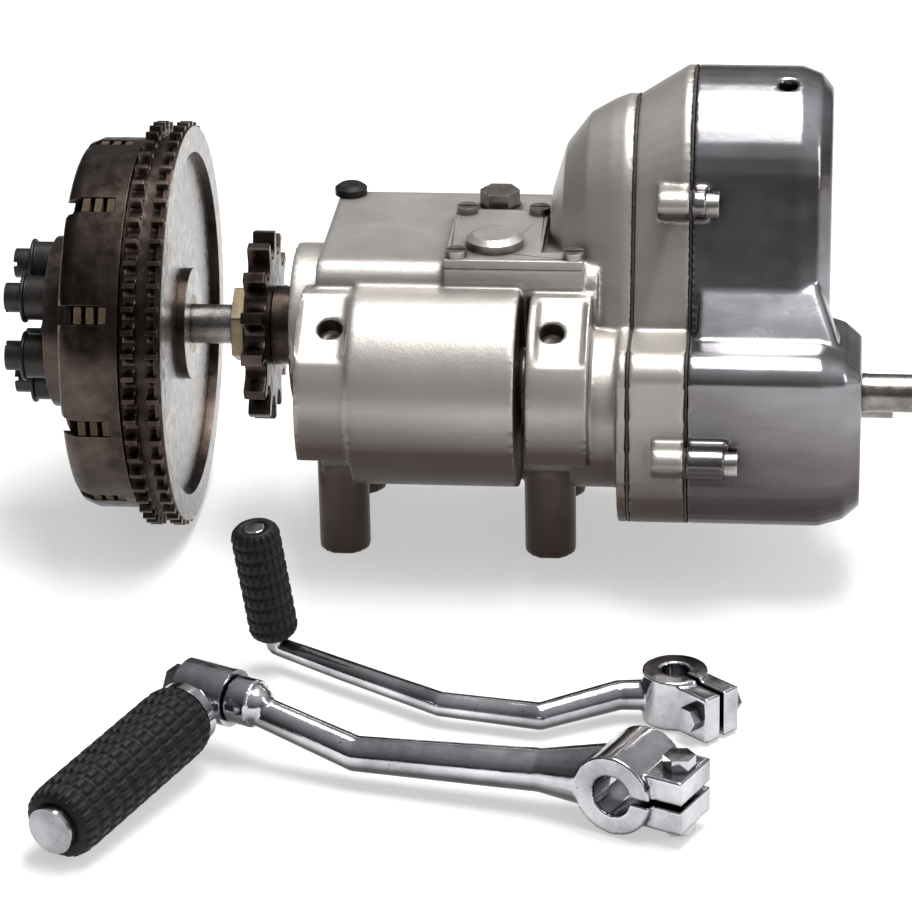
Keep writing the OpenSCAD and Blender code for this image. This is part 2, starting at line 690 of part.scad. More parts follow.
module sleeve_gear() color("#85837f") at_main() difference() {
    union() {
        main_gear(sleeve_x, sleeve_teeth[0]);
        dogs(sleeve_x[1] - 0.2, -18.5, mesh_turn);
        rod(-50, sleeve_x[0] + 0.1, 16);
        rod(-94, -49.9, sleeve_r - run);
    }
    rod(-95, -18, main_r + run);
}
module final_sprocket() color("#4a4642") at_main() difference() {
    union() {
        along(sprocket_x[0] + 1.5, sprocket_x[1])
            sprocket_2d(sprocket_teeth, rear_pcd_r, rear_pcd_r + 5.2, rear_roller_r);
        rod(sprocket_x[1], boss_x0 - 1, 17);
        rod(sprocket_x[0], sprocket_x[0] + 2, 24);
    }
    rod(sprocket_x[0] - 1, boss_x0, sleeve_r - run);
}
module sprocket_nut() color("#a59a78") at_main() difference() {
    rod(-93.5, sprocket_x[0], 17, $fn = 6);
    rod(-94, sprocket_x[0] + 1, sleeve_r - run);
}
module layshaft() color("#7c7b7a") at_lay() {
    rod(-38.3, -29.5, lay_pin_r);
    lay_gear(sleeve_x, sleeve_teeth[1]);
    rod(-29.5, -16.5, 12);
    rod(-16.5, -3.2, 8);
    along(-3.2, 14.2) spline_2d(9, 11, 4);
    rod(14.2, 29, 8);
    rod(29, 30.8, 10);
    rod(30.8, 44, lay_spigot_r);
}
module main_second_gear() color("#85837f") at_main() difference() {
    union() {
        main_gear(second_x, second_teeth[0]);
        dogs(1.5, second_x[0] + 0.2, mesh_turn);
    }
    rod(0, 14, 10 + run);
}
module main_third_gear() color("#85837f") at_main() difference() {
    union() {
        main_gear(third_x, third_teeth[0]);
        dogs(-16, third_x[0] + 0.2, mesh_turn + 36);
        rod(-6.1, -3, 14.3);
        rod(-3.1, -2.5, 19);
        dogs(-2.6, -1, mesh_turn + 36);
    }
    along(-17, 0) offset_spline(9.5, 11.5, 4);
}
// The spline's hole: every face stands clear of the shaft by the same gap.
module offset_spline(r, key_r, key_w) spline_2d(r + 0.08, key_r + 0.15, key_w + 0.3);
module lay_third_gear() color("#85837f") at_lay() difference() {
    union() {
        lay_gear(lay_third_x, third_teeth[1]);
        dogs(lay_third_x[1] - 0.2, -3.5, lay_drop);
    }
    rod(-16, -3, 8 + run);
}
module lay_second_gear() color("#85837f") at_lay() difference() {
    union() {
        lay_gear(lay_second_x, second_teeth[1]);
        rod(1, lay_second_x[0] + 0.1, 14.3);
        rod(0.5, 1.1, 19);
        dogs(-1, 0.6, lay_drop + 36);
        dogs(lay_second_x[1] - 0.2, 14, lay_drop + 36);
    }
    along(-2, 15) offset_spline(9, 11, 4);
}
module lay_first_gear() color("#85837f") at_lay() difference() {
    union() {
        lay_gear(first_x, first_teeth[1]);
        dogs(16.5, first_x[0] + 0.2, lay_drop);
    }
    rod(16, 29, 8 + run);
}

// ---- Selector ----

module track(x, way) for (a = [-50:5:50]) rotate([pin_tilt - a, 0, 0])
    translate([x + way * fork_travel * a / drum_turn_max, 0, 0]) rotate([90, 0, 0])
        translate([0, 0, 8]) cylinder(h = 6, r = track_r);
module selector_drum() color("#8b8986") at_selector() difference() {
    union() {
        rod(-37, -14, 6);
        rod(-14, 14, selector_r);
        rod(-22, -16, 9.5);
        rod(14, 33.8, 6);
        rod(33.7, 68, 5);
        rod(68, 72, 8);
        for (k = [0:4]) rotate([72 * k, 0, 0]) translate([0, 9, 0]) rod(68, 74.5, 2);
        rod(68, 70, 12);
    }
    track(third_fork_x, 1);
    track(second_fork_x, -1);
    for (k = [-2:2]) rotate([22.5 * k, 0, 0]) translate([detent_x, 0, -10.4]) sphere(1.8, $fn = 24);
}

// Fork: half a ring in the gear's groove, an arm, a boss on the rod and a pin in the drum.
module fork(x, boss0, boss1, gy, gz) {
    reach = atan2(rod_z - gz, rod_y - gy);
    difference() {
        union() {
            along(x - 1.2, x + 1.2) difference() {
                union() {
                    translate([gy, gz]) circle(20.5);
                    link([rod_y, rod_z, 7.9], [gy, gz, 9]);
                }
                translate([gy, gz]) circle(14.6);
                translate([gy, gz]) rotate(reach) translate([-40, -30]) square([42, 60]);
            }
            at_rod() rod(boss0, boss1, 8);
            translate([x, rod_y, rod_z]) rotate([pin_tilt - 90, 0, 0]) translate([0, 0, 5.5])
                cylinder(h = selector_y - rod_y - 14.5, r = fork_pin_r);
        }
        at_rod() rod(boss0 - 3, boss1 + 3, rod_r + run);
    }
}
module third_fork() color("#93845c")
    fork(third_fork_x, -13, -3.4, 0, main_z);
module second_fork() color("#93845c")
    fork(second_fork_x, 2.6, 13, lay_y, lay_z);

module gear_spindle() color("#8b8a88") at_selector() {
    rod(75.5, 92, spindle_r);
    rod(91.9, spindle_end_x, spindle_r);
    rod(spindle_end_x - 0.1, 190, spindle_end_r);
    difference() {
        rod(76.5, 79.5, 15);
        translate([76, -16, -16]) cube([4, 32, 12]);
    }
    translate([79.4, -2, 5]) cube([3.5, 4, 8]);
}
module centering_spring() color("#77746f") at_selector() coil(84, 96, 8.4, 1, 4);

// ---- Kick-start ----

module kick_shaft() color("#98989a") at_lay() difference() {
    union() {
        rod(31.5, 66, kick_r);
        rod(66, kick_end_x, kick_r);
        rod(kick_end_x - 0.1, 204, kick_end_r);
        rod(129, 133, 13);
    }
    rod(31, 46, lay_spigot_r + run);
}
module kick_ratchet() color("#6d6b69") at_lay() difference() {
    union() {
        along(68, 76) difference() {
            circle(18);
            for (k = [0:17]) rotate(20 * k) polygon([[15.5, 0], [19, -1], [19, 5.8], [17.9, 5.6]]);
        }
        rod(75.9, 80, 13);
    }
    rod(67, 81, kick_r);
}
module kick_spring() color("#77746f") at_lay() coil(108, 128, 12, 1.6, 5, 6, 14);

// ---- Kick lever, lying on its side. Its own X runs along the bore ----

module at_kick_lever() translate([kick_lever_at[0], kick_lever_at[1], 0])
    rotate([0, 0, kick_lever_turn]) children();
module at_pedal() at_kick_lever() translate(pedal_pivot) rotate([0, pedal_tilt, 0]) children();
module kick_lever() color("#c9ccd2") at_kick_lever() difference() {
    union() {
        translate([0, 0, kick_axis_z]) rod(-15, 15, 16);
        translate([-12, 4, kick_axis_z - 11]) cube([24, 24, 22]);
        strut([2, -8, kick_axis_z], [7, -34, 15], 13, 8.5);
        strut([7, -34, 15], [25, -106, 12], 8.5, 7);
        strut([25, -106, 12], [28, -150, 22], 7, 6.2);
        translate([28, -150, 24]) sphere(8);
        translate([28, -158.6, 24]) rotate([-90, 0, 0]) cylinder(h = 10, r = 9.5);
    }
    translate([0, 0, kick_axis_z]) rod(-20, 20, kick_end_r + run);
    translate([-16, 6, kick_axis_z - 1.25]) cube([32, 26, 2.5]);
    translate([pinch_at[0], pinch_at[1], 0]) cylinder(h = 40, r = pinch_r);
    translate(pedal_pivot) rotate([-90, 0, 0]) cylinder(h = 15, r = pedal_pin_r);
}
module kick_lever_bolt() color("#b7babf") at_kick_lever()
    translate([pinch_at[0], pinch_at[1], kick_axis_z]) {
        translate([0, 0, -14]) cylinder(h = 25, r = pinch_r);
        translate([0, 0, 11]) cylinder(h = 5, r = 6.2, $fn = 6);
        difference() {
            translate([0, 0, -15.6]) cylinder(h = 4.6, r = 6.2, $fn = 6);
            translate([0, 0, -20]) cylinder(h = 12, r = pinch_r);
        }
    }
module pedal_pivot_pin() color("#b7babf") at_kick_lever() translate(pedal_pivot)
    rotate([90, 0, 0]) {
        translate([0, 0, -14]) cylinder(h = 26, r = pedal_pin_r);
        translate([0, 0, 11.4]) cylinder(h = 1.6, r = 9);
        translate([0, 0, 13]) cylinder(h = 5, r = 7.5, $fn = 6);
    }
module kick_pedal() color("#b3b6bc") at_pedal() difference() {
    union() {
        rotate([90, 0, 0]) cylinder(h = 22, r = 11.5, center = true);
        rod(8, 104, 7);
        rod(16, 20, 13);
        rod(103, 108, 9.5);
    }
    rotate([90, 0, 0]) cylinder(h = 30, r = pedal_pin_r + run, center = true);
}
module kick_pedal_rubber() color("#161618") at_pedal() difference() {
    union() {
        rod(20, 102, pedal_rubber_r - 1);
        for (x = [20:7.45:96]) rod(x, x + 5.6, pedal_rubber_r);
        rod(102, 104, pedal_rubber_r - 2.5);
    }
    rod(19, 105, 7);
    rod(102.9, 105, 9.5);
}

// ---- Gear lever, lying on its boss ----

module at_gear_lever() translate([gear_lever_at[0], gear_lever_at[1], 0]) children();
module at_gear_pinch() at_gear_lever() rotate([0, 0, gear_pinch_turn]) children();
module at_peg() at_gear_lever() translate(gear_arm[5])
    rotate([0, acos(peg_lean[2] / norm(peg_lean)), atan2(peg_lean[1], peg_lean[0])]) children();
module gear_lever() color("#c9ccd2") difference() {
    union() {
        at_gear_lever() translate([0, 0, 0.2]) cylinder(h = 21, r = 13);
        at_gear_pinch() translate([4, -9, 0.8]) cube([22, 18, 19]);
        for (i = [0:4]) at_gear_lever() strut(gear_arm[i], gear_arm[i + 1],
            6.5 - i * 0.5, 6 - i * 0.5);
        at_peg() cylinder(h = 56, r = peg_r);
    }
    at_gear_lever() translate([0, 0, -1]) cylinder(h = 30, r = spindle_end_r + run);
    at_gear_pinch() translate([5, -1, -1]) cube([30, 2, 30]);
    at_gear_pinch() translate([gear_pinch_at[0], -20, gear_pinch_at[1]]) rotate([-90, 0, 0])
        cylinder(h = 40, r = gear_pinch_r);
}
module gear_lever_bolt() color("#b7babf") at_gear_pinch()
    translate([gear_pinch_at[0], 0, gear_pinch_at[1]]) rotate([90, 0, 0]) {
        translate([0, 0, -14]) cylinder(h = 23, r = gear_pinch_r);
        translate([0, 0, 9]) cylinder(h = 4.5, r = 5.2, $fn = 6);
        difference() {
            translate([0, 0, -13]) cylinder(h = 4, r = 5.2, $fn = 6);
            translate([0, 0, -16]) cylinder(h = 10, r = gear_pinch_r);
        }
    }
module gear_lever_rubber() color("#161618") at_peg() difference() {
    union() {
        translate([0, 0, 6]) cylinder(h = 50, r = peg_rubber_r - 0.8);
        for (z = [6:6:50]) translate([0, 0, z]) cylinder(h = 4.2, r = peg_rubber_r);
    }
    translate([0, 0, 5]) cylinder(h = 51, r = peg_r);
}

gearbox_shell();
inner_cover();
outer_cover();
shell_gasket();
cover_gasket();
inspection_cover();
inspection_screws();
cover_screws();
filler_plug();
top_plug();
drain_plug();
breather_cap();
sleeve_bearing();
mainshaft_bearing();
oil_seal();
shaft_bushes();
fork_rod();
detent_plunger();
clutch_arm_pin();
mainshaft();
clutch_hub();
hub_nut();
steel_plates();
spring_studs();
spring_nuts();
clutch_drum();
friction_plates();
drum_bush();
pressure_plate();
spring_cups();
clutch_springs();
pushrod();
clutch_arm();
sleeve_gear();
final_sprocket();
sprocket_nut();
layshaft();
main_second_gear();
main_third_gear();
lay_first_gear();
lay_second_gear();
lay_third_gear();
selector_drum();
third_fork();
second_fork();
gear_spindle();
centering_spring();
kick_shaft();
kick_ratchet();
kick_spring();
kick_lever();
kick_lever_bolt();
pedal_pivot_pin();
kick_pedal();
kick_pedal_rubber();
gear_lever();
gear_lever_bolt();
gear_lever_rubber();
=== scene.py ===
"""A separate motorcycle gearbox with its clutch, and the kick and gear levers that lie in front of it.

Castings are softened copies of the CAD solids, turned and toothed parts keep their CAD shape with
broken edges, and rubber sleeves are built here. All lengths are metres in the frame's own axes.
"""
import json
import math

import bmesh
import bpy
import numpy as np
from mathutils import Matrix, Vector


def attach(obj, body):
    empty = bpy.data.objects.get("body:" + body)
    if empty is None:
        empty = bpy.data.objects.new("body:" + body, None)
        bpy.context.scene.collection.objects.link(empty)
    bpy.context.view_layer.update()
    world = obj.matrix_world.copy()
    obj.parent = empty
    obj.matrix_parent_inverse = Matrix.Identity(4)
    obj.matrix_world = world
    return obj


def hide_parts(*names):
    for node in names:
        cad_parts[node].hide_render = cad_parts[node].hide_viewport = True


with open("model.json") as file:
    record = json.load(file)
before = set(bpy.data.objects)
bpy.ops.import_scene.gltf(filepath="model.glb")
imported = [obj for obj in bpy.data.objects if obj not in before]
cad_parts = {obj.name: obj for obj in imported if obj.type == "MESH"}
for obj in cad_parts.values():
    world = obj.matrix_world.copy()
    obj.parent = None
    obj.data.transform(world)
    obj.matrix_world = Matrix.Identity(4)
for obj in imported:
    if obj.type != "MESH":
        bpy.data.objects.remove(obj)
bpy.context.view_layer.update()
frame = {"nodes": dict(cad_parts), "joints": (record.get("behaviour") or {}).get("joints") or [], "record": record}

MM = 0.001
NODES = frame["nodes"]
RECORD = frame["record"]
SCENE = bpy.context.scene
BODY_OF = {n: b for b, names in RECORD["behaviour"]["bodies"].items() for n in names}
SLOT_OF = {s["node"]: s["material_slot"] for s in RECORD["subparts"]}
JOINTS = {j["name"]: j for j in frame["joints"]}


# ---- Camera, floor and light ----

def make_camera():
    """The photograph's view: slightly from the right, 24 degrees down, through a long lens."""
    turn, rise, roll = math.radians(6), math.radians(24), math.radians(-1.2)
    target, distance = Vector((0.98, 0, 28.87)) * MM, 1.767
    back = Vector((math.sin(turn) * math.cos(rise), -math.cos(turn) * math.cos(rise), math.sin(rise)))
    right = Vector((math.cos(turn), math.sin(turn), 0))
    up = back.cross(right)
    side = right * math.cos(roll) + up * math.sin(roll)
    top = up * math.cos(roll) - right * math.sin(roll)
    data = bpy.data.cameras.new("camera")
    data.lens, data.sensor_width = 160, 36
    data.clip_start, data.clip_end = 0.05, 30
    camera = bpy.data.objects.new("camera", data)
    SCENE.collection.objects.link(camera)
    camera.matrix_world = Matrix.Translation(target + back * distance) @ Matrix(
        (side, top, back)).transposed().to_4x4()
    SCENE.camera = camera


def area_light(name, place, aim, size, power, colour=(1, 1, 1)):
    data = bpy.data.lights.new(name, "AREA")
    data.shape, data.size, data.size_y = "RECTANGLE", size[0], size[1]
    data.energy, data.color = power, colour
    light = bpy.data.objects.new(name, data)
    SCENE.collection.objects.link(light)
    light.location = place
    light.rotation_euler = (Vector(aim) - Vector(place)).to_track_quat("-Z", "Y").to_euler()


def make_light():
    """A soft box overhead, and a world that is dark near the horizon and darker on the left."""
    middle = (0, 0, 0.08)
    area_light("soft_box", (0.2, 0.05, 1.5), middle, (1.3, 0.55), 30, (1.0, 0.99, 0.97))
    area_light("right_strip", (1.6, -0.5, 0.75), middle, (0.25, 0.9), 7, (0.93, 0.97, 1.0))
    world = bpy.data.worlds.new("studio")
    world.use_nodes = True
    tree = world.node_tree
    background = tree.nodes["Background"]
    coordinates = tree.nodes.new("ShaderNodeTexCoord")
    split = tree.nodes.new("ShaderNodeSeparateXYZ")
    ramp = tree.nodes.new("ShaderNodeValToRGB")
    tree.links.new(coordinates.outputs["Generated"], split.inputs[0])
    tree.links.new(split.outputs["Z"], ramp.inputs[0])
    tree.links.new(ramp.outputs[0], background.inputs[0])
    for position, shade in ((0.0, 0.05), (0.22, 0.22), (0.5, 0.75), (1.0, 1.0)):
        if position in (0.0, 1.0):
            stop = ramp.color_ramp.elements[int(position)]
        else:
            stop = ramp.color_ramp.elements.new(position)
        stop.position = position
        stop.color = (shade, shade, 1.02 * shade, 1)
    side = tree.nodes.new("ShaderNodeMapRange")
    tree.links.new(split.outputs["X"], side.inputs["Value"])
    side.inputs["From Min"].default_value = -0.8
    side.inputs["From Max"].default_value = 0.8
    side.inputs["To Min"].default_value = 0.2
    side.inputs["To Max"].default_value = 0.85
    tree.links.new(side.outputs["Result"], background.inputs[1])
    SCENE.world = world
    SCENE.view_settings.view_transform = "Standard"


def make_floor():
    bpy.ops.mesh.primitive_plane_add(size=12, location=(0, 0, -0.0006))
    floor = bpy.context.object
    floor.name = "floor"
    material = bpy.data.materials.new("pale_floor")
    material.use_nodes = True
    shader = material.node_tree.nodes["Principled BSDF"]
    shader.inputs["Base Color"].default_value = (0.6, 0.6, 0.6, 1)
    shader.inputs["Emission Color"].default_value = (1, 1, 1, 1)
    shader.inputs["Emission Strength"].default_value = 0.5
    shader.inputs["Roughness"].default_value = 0.9
    shader.inputs["Specular IOR Level"].default_value = 0.1
    floor.data.materials.append(material)


# ---- Materials ----

class Shading:
    """A material under construction: short calls that add and link its nodes."""

    def __init__(self, name):
        self.material = bpy.data.materials.new(name)
        self.material.use_nodes = True
        self.tree = self.material.node_tree
        self.shader = self.tree.nodes["Principled BSDF"]
        coordinates = self.tree.nodes.new("ShaderNodeTexCoord")
        self.place = coordinates.outputs["Object"]

    def add(self, kind, **links):
        node = self.tree.nodes.new(kind)
        for name, value in links.items():
            socket = node.inputs[name.replace("_", " ")]
            if hasattr(value, "links"):
                self.tree.links.new(value, socket)
            else:
                socket.default_value = value
        return node

    def noise(self, scale, detail=4, rough=0.6, stretch=(1, 1, 1), lift=0.0):
        where = self.add("ShaderNodeMapping", Vector=self.place, Scale=stretch, Location=(lift, lift, lift))
        node = self.add("ShaderNodeTexNoise", Vector=where.outputs[0], Scale=scale, Detail=detail, Roughness=rough)
        return node.outputs["Fac"]

    def span(self, value, low, high, out_low=0.0, out_high=1.0):
        node = self.add("ShaderNodeMapRange")
        self.tree.links.new(value, node.inputs["Value"])
        node.inputs["From Min"].default_value = low
        node.inputs["From Max"].default_value = high
        node.inputs["To Min"].default_value = out_low
        node.inputs["To Max"].default_value = out_high
        return node.outputs["Result"]

    def mix(self, share, a, b, how="MIX"):
        node = self.tree.nodes.new("ShaderNodeMix")
        node.data_type, node.blend_type = "RGBA", how
        for socket, value in ((node.inputs[0], share), (node.inputs[6], a), (node.inputs[7], b)):
            if hasattr(value, "links"):
                self.tree.links.new(value, socket)
            elif isinstance(value, (int, float)):
                socket.default_value = value
            else:
                socket.default_value = (*value, 1)
        return node.outputs[2]

    def math(self, how, a, b):
        node = self.tree.nodes.new("ShaderNodeMath")
        node.operation, node.use_clamp = how, True
        for socket, value in ((node.inputs[0], a), (node.inputs[1], b)):
            if hasattr(value, "links"):
                self.tree.links.new(value, socket)
            else:
                socket.default_value = value
        return node.outputs[0]

    def bump(self, height, depth, strength=1.0, under=None):
        node = self.tree.nodes.new("ShaderNodeBump")
        node.inputs["Distance"].default_value = depth
        node.inputs["Strength"].default_value = strength
        self.tree.links.new(height, node.inputs["Height"])
        if under is not None:
            self.tree.links.new(under, node.inputs["Normal"])
        return node.outputs[0]

    def crevice(self, reach):
        """0 in the open, 1 deep in a corner."""
        node = self.tree.nodes.new("ShaderNodeAmbientOcclusion")
        node.samples = 6
        node.inputs["Distance"].default_value = reach
        return self.span(node.outputs["AO"], 0.9, 0.35)

    def worn_edge(self, reach):
        """1 along outer edges, 0 on flats."""
        node = self.tree.nodes.new("ShaderNodeAmbientOcclusion")
        node.samples, node.inside = 6, True
        node.inputs["Distance"].default_value = reach
        return self.span(node.outputs["AO"], 0.92, 0.60)

    def facing_down(self):
        """0 on faces that look up, 1 on faces that look down."""
        geometry = self.tree.nodes.new("ShaderNodeNewGeometry")
        split = self.tree.nodes.new("ShaderNodeSeparateXYZ")
        self.tree.links.new(geometry.outputs["Normal"], split.inputs[0])
        return self.span(split.outputs["Z"], 0.12, -0.35)

    def height(self, low, high):
        """1 below the height low, 0 above high."""
        where = self.tree.nodes.new("ShaderNodeSeparateXYZ")
        self.tree.links.new(self.place, where.inputs[0])
        return self.span(where.outputs["Z"], high, low)

    def tilting(self):
        """0 on faces that look up, 1 on upright ones."""
        geometry = self.tree.nodes.new("ShaderNodeNewGeometry")
        split = self.tree.nodes.new("ShaderNodeSeparateXYZ")
        self.tree.links.new(geometry.outputs["Normal"], split.inputs[0])
        return self.span(split.outputs["Z"], 0.62, 0.0)

    def facing_right(self, x_low, x_high):
        """1 on faces that look along +X and lie between two stations, 0 elsewhere."""
        geometry = self.tree.nodes.new("ShaderNodeNewGeometry")
        split = self.tree.nodes.new("ShaderNodeSeparateXYZ")
        self.tree.links.new(geometry.outputs["Normal"], split.inputs[0])
        where = self.tree.nodes.new("ShaderNodeSeparateXYZ")
        self.tree.links.new(self.place, where.inputs[0])
        after = self.span(where.outputs["X"], x_low - 0.5 * MM, x_low + 0.5 * MM)
        before = self.span(where.outputs["X"], x_high + 0.5 * MM, x_high - 0.5 * MM)
        return self.math("MULTIPLY", self.span(split.outputs["X"], 0.6, 0.9),
                         self.math("MULTIPLY", after, before))

    def finish(self, colour, rough, metallic, normal, coat=0.0):
        links = self.tree.links
        links.new(colour, self.shader.inputs["Base Color"])
        links.new(rough, self.shader.inputs["Roughness"])
        links.new(normal, self.shader.inputs["Normal"])
        self.shader.inputs["Metallic"].default_value = metallic
        self.shader.inputs["Coat Weight"].default_value = coat
        self.shader.inputs["Coat Roughness"].default_value = 0.2
        return self.material


def casting(name, light, dark, oil_and_shade, metallic, rough, grain=0.00012, reflection_streak=(1, 1, 1), patch=9):
    """Sand-cast metal: broad soft patches, grains, bright worn edges, painted shade with a brown oily film in corners
    and on the undersides, painted shade on upright faces, and darker towards the bottom.
    """
    s = Shading(name)
    # Broad patches of tone; stretched by reflection_streak, as on the polished cover, they become painted reflection
    # bands over the polish tone.
    blotch = s.span(s.noise(patch, 4, 0.55, reflection_streak), 0.32, 0.70)
    colour = s.mix(blotch, dark, light)
    speck = s.span(s.noise(420, 3, 0.7), 0.62, 0.76)
    colour = s.mix(s.math("MULTIPLY", speck, 0.22), colour, dark)
    # Painted shade with a brown oily film: faces that look down take the oil_and_shade colour.
    under = s.math("MULTIPLY", s.facing_down(), s.span(s.noise(22, 4, 0.6, lift=3.0), 0.2, 0.5, 0.93, 1.0))
    # Painted shade: upright faces turn half way to a dark brown, as faces turned from the overhead light look.
    brown = tuple(0.5 * a + 0.5 * b for a, b in zip(dark, oil_and_shade))
    colour = s.mix(s.math("MULTIPLY", s.tilting(), 0.5), colour, brown)
    colour = s.mix(under, colour, oil_and_shade)
    # Darker towards the bottom, from 84 mm down to 36 mm.
    low = s.math("MULTIPLY", s.height(36 * MM, 84 * MM), s.span(s.noise(35, 4, 0.6, lift=5.0), 0.2, 0.5, 0.93, 1.0))
    colour = s.mix(low, colour, oil_and_shade)
    # Painted shade with an oily film: corners and recesses darken, from ambient occlusion.
    corner_shade_and_oil = s.math("MULTIPLY", s.crevice(7 * MM), s.span(s.noise(60, 4), 0.3, 0.6, 0.6, 1.0))
    colour = s.mix(corner_shade_and_oil, colour, tuple(0.6 * c for c in oil_and_shade))
    bright = s.math("MULTIPLY", s.worn_edge(1.0 * MM), s.span(s.noise(160, 3), 0.45, 0.6, 0.0, 0.35))
    colour = s.mix(bright, colour, tuple(min(1, 1.2 * c) for c in light))
    roughness = s.span(s.noise(30, 5, 0.7, lift=7.0), 0.3, 0.7, rough[0], rough[1])
    coarse = s.bump(s.noise(240, 3, 0.6), 2 * grain, 0.3)
    fine = s.bump(s.noise(1500, 2, 0.6), grain, 0.6, coarse)
    return s.finish(colour, roughness, metallic, fine)


def turned(name, light, dark, rough, metallic=1.0, lines=(1, 1, 1), corner_oil_and_shade=(0.012, 0.008, 0.006), corner_shade_share=0.9,
           wear=0.7, painted_light_back_face=None):
    """Machined steel: fine tool lines, painted shade with a dark oily film in corners, bright worn edges, and where
    asked a painted light on faces looking along +X.
    """
    s = Shading(name)
    blotch = s.span(s.noise(45, 4, 0.6), 0.32, 0.68)
    colour = s.mix(blotch, dark, light)
    # Painted light: faces looking along +X between these stations, the chainwheel's back face, get a lighter colour
    # as if lit.
    if painted_light_back_face:
        colour = s.mix(s.facing_right(-117 * MM, -109 * MM), colour, painted_light_back_face)
    # Painted shade with a dark oily film: corners and recesses darken, from ambient occlusion.
    corner_shade_and_oil = s.math("MULTIPLY", s.crevice(4 * MM), s.span(s.noise(140, 4), 0.25, 0.55, 0.5 * corner_shade_share, corner_shade_share))
    colour = s.mix(corner_shade_and_oil, colour, corner_oil_and_shade)
    bright = s.math("MULTIPLY", s.worn_edge(0.8 * MM), s.span(s.noise(220, 3), 0.4, 0.6, 0.15, wear))
    colour = s.mix(bright, colour, tuple(min(1, 1.7 * c) for c in light))
    roughness = s.span(s.noise(180, 4, 0.6, lift=2.0), 0.3, 0.7, rough[0], rough[1])
    tool = s.bump(s.noise(1100, 2, 0.5, lines), 0.00005, 0.5)
    pits = s.bump(s.noise(380, 4, 0.7), 0.00012, 0.3, tool)
    return s.finish(colour, roughness, metallic, pits)


def chromed(name, rough):
    """Chrome plate, a little dull, with faint ripples, small dark pits, and painted shade on its undersides and in
    its corners.
    """
    s = Shading(name)
    haze = s.span(s.noise(38, 5, 0.6), 0.35, 0.7)
    colour = s.mix(haze, (0.34, 0.35, 0.37), (0.74, 0.75, 0.78))
    pit = s.math("MULTIPLY", s.span(s.noise(700, 2, 0.5), 0.68, 0.74), 0.6)
    colour = s.mix(pit, colour, (0.10, 0.07, 0.05))
    # Painted shade: faces that look down turn nearly black.
    under = s.math("MULTIPLY", s.facing_down(), 0.85)
    colour = s.mix(under, colour, (0.03, 0.028, 0.028))
    # Painted shade deep in corners, from ambient occlusion.
    colour = s.mix(s.math("MULTIPLY", s.crevice(3 * MM), 0.8), colour, (0.02, 0.02, 0.02))
    roughness = s.span(s.noise(90, 4), 0.3, 0.7, rough[0], rough[1])
    ripple = s.bump(s.noise(130, 2, 0.4), 0.0003, 0.25)
    return s.finish(colour, roughness, 1.0, ripple)


def rubber(name, colour_a, colour_b, rough, grain):
    """Moulded rubber with a fine grain and a little dust on its raised edges."""
    s = Shading(name)
    colour = s.mix(s.span(s.noise(120, 5, 0.7), 0.35, 0.7), colour_a, colour_b)
    dust = s.math("MULTIPLY", s.worn_edge(1.0 * MM), s.span(s.noise(300, 3), 0.45, 0.65, 0.0, 0.4))
    colour = s.mix(dust, colour, tuple(2.5 * c for c in colour_b))
    roughness = s.span(s.noise(200, 3), 0.3, 0.7, rough[0], rough[1])
    s.shader.inputs["Specular IOR Level"].default_value = 0.25
    return s.finish(colour, roughness, 0.0, s.bump(s.noise(1800, 2, 0.6), grain, 0.6))


def make_materials():
    """One finish for each of the record's material slots."""
    return {
        # A casting's third colour is its oil_and_shade: a brown oily film and painted shade.
        "cast_case": casting("cast_case", (0.62, 0.60, 0.56), (0.46, 0.43, 0.41), (0.050, 0.034, 0.028),
                             0.72, (0.30, 0.42)),
        # The polished cover's bluish light and dark colours, drawn into long bands, are a painted reflection as well
        # as its polish tone.
        "polished_cover": casting("polished_cover", (0.50, 0.50, 0.53), (0.16, 0.145, 0.15),
                                  (0.045, 0.036, 0.038), 0.95, (0.16, 0.30), grain=0.00004,
                                  reflection_streak=(0.35, 1, 1.6), patch=16),
        "gasket": rubber("gasket", (0.03, 0.027, 0.024), (0.05, 0.045, 0.04), (0.5, 0.7), 0.00005),
        "bright_fastener": turned("bright_fastener", (0.40, 0.39, 0.37), (0.22, 0.20, 0.18), (0.26, 0.42)),
        "dark_plug": rubber("dark_plug", (0.006, 0.006, 0.007), (0.016, 0.015, 0.014), (0.4, 0.6), 0.00003),
        "bearing_steel": turned("bearing_steel", (0.62, 0.62, 0.62), (0.45, 0.45, 0.45), (0.15, 0.3)),
        "bronze": turned("bronze", (0.30, 0.22, 0.13), (0.12, 0.08, 0.05), (0.25, 0.45)),
        "seal_rubber": rubber("seal_rubber", (0.008, 0.008, 0.008), (0.02, 0.018, 0.016), (0.35, 0.55), 0.00003),
        # Its last colour is painted light on the chainwheel's back face.
        "oily_steel": turned("oily_steel", (0.105, 0.08, 0.07), (0.022, 0.015, 0.012), (0.22, 0.40),
                             wear=0.6, painted_light_back_face=(0.30, 0.295, 0.29)),
        "shaft_steel": turned("shaft_steel", (0.34, 0.33, 0.32), (0.12, 0.105, 0.095), (0.2, 0.38)),
        "black_cup": turned("black_cup", (0.020, 0.018, 0.017), (0.006, 0.005, 0.005), (0.3, 0.5), 0.3,
                            corner_shade_share=0.5, wear=0.4),
        "friction_lining": rubber("friction_lining", (0.05, 0.032, 0.018), (0.09, 0.06, 0.035), (0.6, 0.8), 0.0001),
        "gear_steel": turned("gear_steel", (0.40, 0.39, 0.37), (0.20, 0.185, 0.17), (0.2, 0.36)),
        "chrome": chromed("chrome", (0.06, 0.18)),
        "black_rubber": rubber("black_rubber", (0.0035, 0.0035, 0.0045), (0.008, 0.008, 0.010), (0.5, 0.68), 0.00005),
        "nut_plate": turned("nut_plate", (0.26, 0.21, 0.14), (0.09, 0.065, 0.04), (0.25, 0.42)),
    }


# ---- Pieces ----

